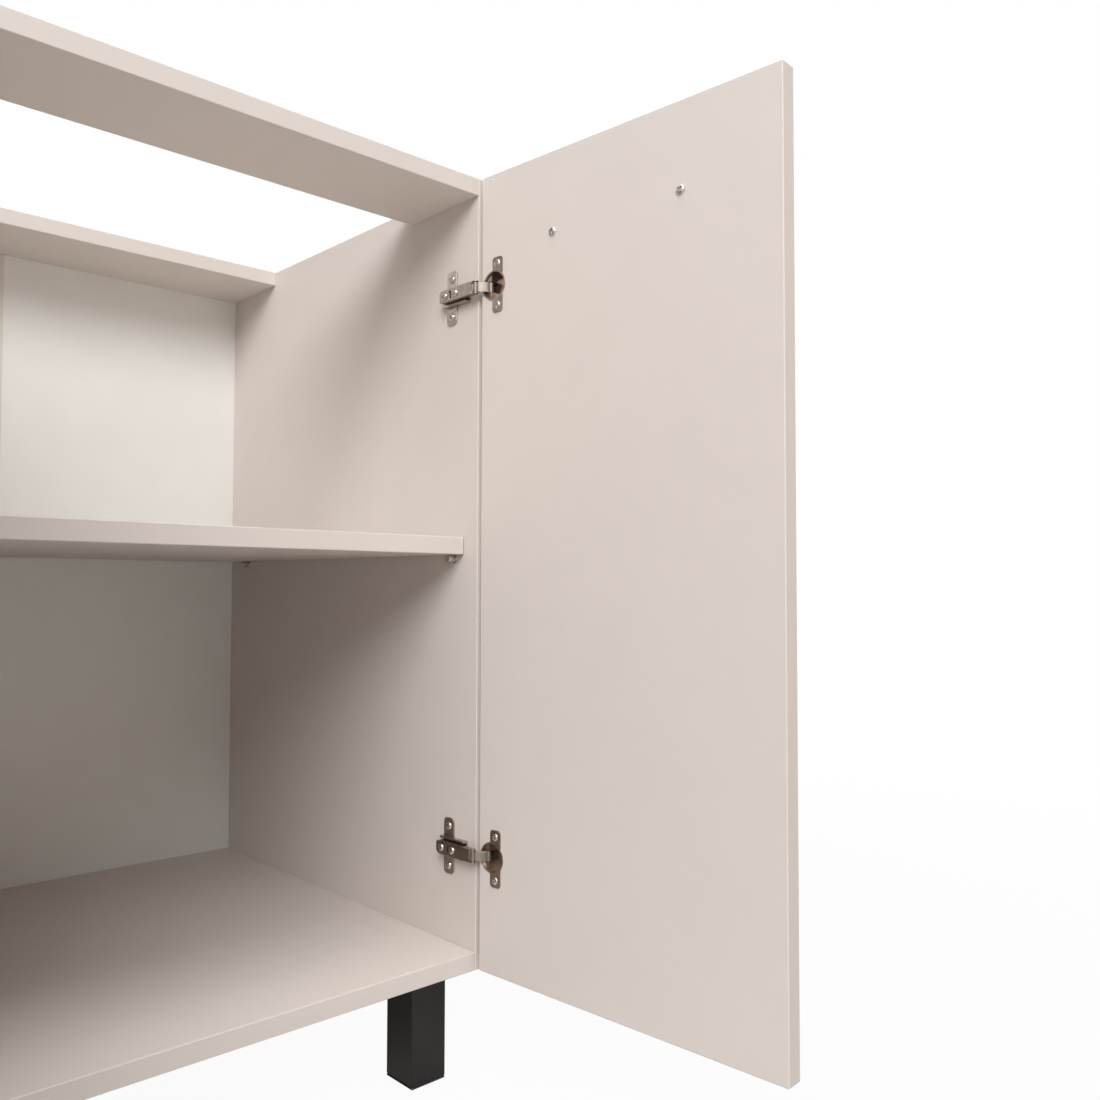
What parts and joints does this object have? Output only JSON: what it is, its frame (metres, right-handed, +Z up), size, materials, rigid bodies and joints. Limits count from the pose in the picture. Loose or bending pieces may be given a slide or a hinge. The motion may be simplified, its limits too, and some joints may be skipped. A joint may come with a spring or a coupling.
{
  "type": "kitchen base cabinet",
  "caption": "Floor-standing kitchen base cabinet with hinged doors on concealed cup hinges, an adjustable shelf, an open top between rails, and square legs.",
  "frame": {"origin": "on the floor, in the middle of the box around the cabinet with its doors open", "axes": "+X to the cabinet's right seen from the front, +Y to its back, +Z up; millimetre model stored in metres"},
  "size_m": [0.6886, 0.7755, 0.82],
  "materials": {
    "melamine": "greige melamine-faced chipboard, matt, with matching edge band",
    "back_board": "pale lacquered hardboard",
    "joint_strip": "satin extruded strip",
    "black_plastic": "satin black",
    "black_metal": "matt black",
    "nickel": "nickel plated",
    "screw_steel": "zinc plated",
    "cam_zinc": "die-cast zinc",
    "dowel_wood": "plain beech"
  },
  "bodies": {
    "carcass": {"side_panel_left": "melamine", "side_panel_right": "melamine", "bottom_panel": "melamine", "front_rail": "melamine", "rear_rail": "melamine", "shelf": "melamine", "back_panel_left": "back_board", "back_panel_right": "back_board", "back_joint_strip": "joint_strip", "leg_front_left": "black_plastic", "leg_front_right": "black_plastic", "leg_rear_left": "black_plastic", "leg_rear_right": "black_plastic", "foot_caps": "black_plastic", "hinge_plate_upper_left": "nickel", "hinge_plate_upper_right": "nickel", "hinge_plate_lower_left": "nickel", "hinge_plate_lower_right": "nickel", "hinge_arm_upper_left": "nickel", "hinge_arm_upper_right": "nickel", "hinge_arm_lower_left": "nickel", "hinge_arm_lower_right": "nickel", "plate_screws": "screw_steel", "arm_screws": "screw_steel", "shelf_pins": "screw_steel", "back_nails": "screw_steel", "arm_pins": "screw_steel", "leg_bolts": "screw_steel", "cam_bolts": "screw_steel", "cam_locks": "cam_zinc", "dowels": "dowel_wood"},
    "right_links": {"hinge_link_upper_right": "nickel", "hinge_link_lower_right": "nickel"},
    "right_door": {"door_right": "melamine", "handle_right": "black_metal", "handle_screws_right": "screw_steel", "hinge_cup_upper_right": "nickel", "hinge_cup_lower_right": "nickel", "cup_pins_right": "screw_steel", "cup_screws_right": "screw_steel"},
    "left_links": {"hinge_link_upper_left": "nickel", "hinge_link_lower_left": "nickel"},
    "left_door": {"door_left": "melamine", "handle_left": "black_metal", "handle_screws_left": "screw_steel", "hinge_cup_upper_left": "nickel", "hinge_cup_lower_left": "nickel", "cup_pins_left": "screw_steel", "cup_screws_left": "screw_steel"}
  },
  "joints": [
    {"name": "right_link_swing", "type": "hinge", "parent": "carcass", "child": "right_links", "pos_m": [0.276, -0.09101, 0.46], "axis": [0, 0, 1], "range_deg": [0, 34.9]},
    {"name": "right_door_swing", "type": "hinge", "parent": "right_links", "child": "right_door", "pos_m": [0.28736, -0.09955, 0.46], "axis": [0, 0, 1], "range_deg": [-128.9, 0]},
    {"name": "left_link_swing", "type": "hinge", "parent": "carcass", "child": "left_links", "pos_m": [-0.276, -0.09101, 0.46], "axis": [0, 0, -1], "range_deg": [0, 34.9]},
    {"name": "left_door_swing", "type": "hinge", "parent": "left_links", "child": "left_door", "pos_m": [-0.28736, -0.09955, 0.46], "axis": [0, 0, -1], "range_deg": [-128.9, 0]}
  ],
  "couplings": [
    {"joint": "right_link_swing", "follows": "right_door_swing", "ratio": -0.27075},
    {"joint": "left_link_swing", "follows": "left_door_swing", "ratio": -0.27075}
  ]
}
